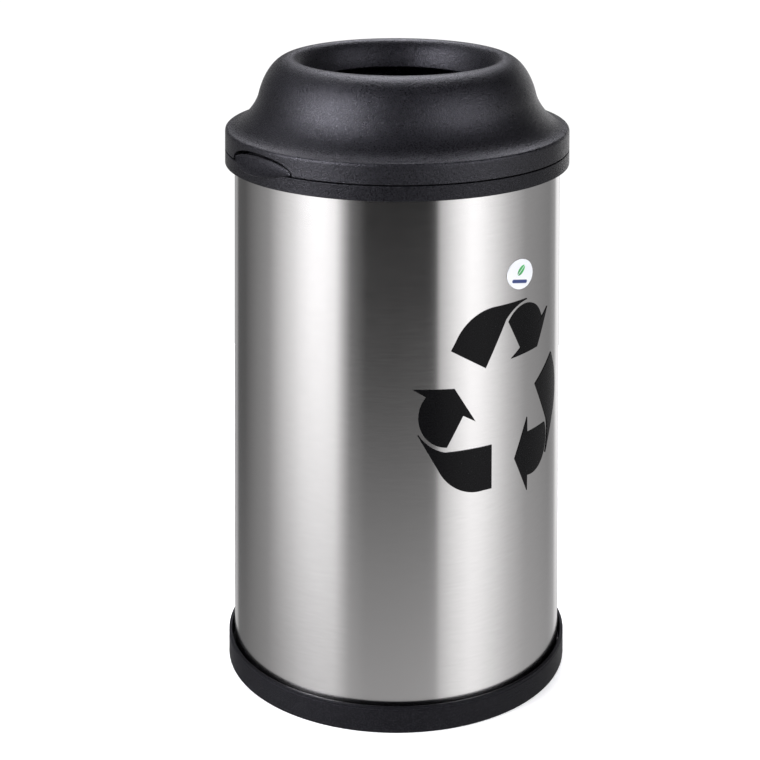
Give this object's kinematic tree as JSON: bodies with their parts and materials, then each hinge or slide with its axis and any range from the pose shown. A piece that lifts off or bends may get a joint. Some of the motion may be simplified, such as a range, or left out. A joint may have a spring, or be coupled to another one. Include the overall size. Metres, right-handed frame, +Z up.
{
  "type": "recycling bin",
  "caption": "Round floor-standing recycling bin: brushed steel body, black base ring and collar, lift-off domed lid with open mouth, and lift-out liner with drop handles.",
  "frame": {"origin": "on the floor, on the axis of the tube", "axes": "+Z up along the tube; the front with the recycling sign faces -Y; the finger scoops are on +X and -X"},
  "size_m": [0.416, 0.4, 0.696],
  "materials": {
    "brushed_steel": "fine horizontal brushing, satin",
    "lid_plastic": "fine sand-grain texture, satin",
    "ring_plastic": "fine sand-grain texture, satin",
    "plate_steel": "mill finish",
    "galvanised_steel": "hot-dip galvanised, spangled",
    "handle_wire": "zinc-plated wire",
    "grip_plastic": "moulded",
    "rubber": "plain",
    "fastener_steel": "zinc plated",
    "black_film": "cut vinyl film",
    "label": "printed film"
  },
  "bodies": {
    "bin": {"base_ring": "ring_plastic", "base_rivet_1": "fastener_steel", "base_rivet_2": "fastener_steel", "base_rivet_3": "fastener_steel", "base_rivet_4": "fastener_steel", "base_screw_1": "fastener_steel", "base_screw_2": "fastener_steel", "base_screw_3": "fastener_steel", "base_screw_4": "fastener_steel", "base_screw_5": "fastener_steel", "base_screw_6": "fastener_steel", "bottom_plate": "plate_steel", "collar_rivet_1": "fastener_steel", "collar_rivet_2": "fastener_steel", "collar_rivet_3": "fastener_steel", "collar_rivet_4": "fastener_steel", "foot_pad_1": "rubber", "foot_pad_2": "rubber", "foot_pad_3": "rubber", "foot_pad_4": "rubber", "foot_pad_5": "rubber", "foot_pad_6": "rubber", "front_label": "label", "sign_head_1": "black_film", "sign_head_2": "black_film", "sign_head_3": "black_film", "sign_tail_1": "black_film", "sign_tail_2": "black_film", "sign_tail_3": "black_film", "steel_tube": "brushed_steel", "top_collar": "ring_plastic"},
    "liner": {"handle_ear_1a": "galvanised_steel", "handle_ear_1b": "galvanised_steel", "handle_ear_2a": "galvanised_steel", "handle_ear_2b": "galvanised_steel", "liner_bucket": "galvanised_steel"},
    "handle_1": {"drop_handle_1": "handle_wire", "handle_grip_1": "grip_plastic"},
    "handle_2": {"drop_handle_2": "handle_wire", "handle_grip_2": "grip_plastic"},
    "lid": {"lid": "lid_plastic"}
  },
  "joints": [
    {"name": "liner_lift", "type": "slide", "parent": "bin", "child": "liner", "axis": [0, 0, 1], "range_m": [0, 0.6]},
    {"name": "lid_lift", "type": "slide", "parent": "liner", "child": "lid", "axis": [0, 0, 1], "range_m": [0, 0.3]},
    {"name": "handle_1_swing", "type": "hinge", "parent": "liner", "child": "handle_1", "pos_m": [0.157, 0, 0.56], "axis": [0, 1, 0], "range_deg": [0, 165]},
    {"name": "handle_2_swing", "type": "hinge", "parent": "liner", "child": "handle_2", "pos_m": [-0.157, 0, 0.56], "axis": [0, -1, 0], "range_deg": [0, 165]}
  ]
}
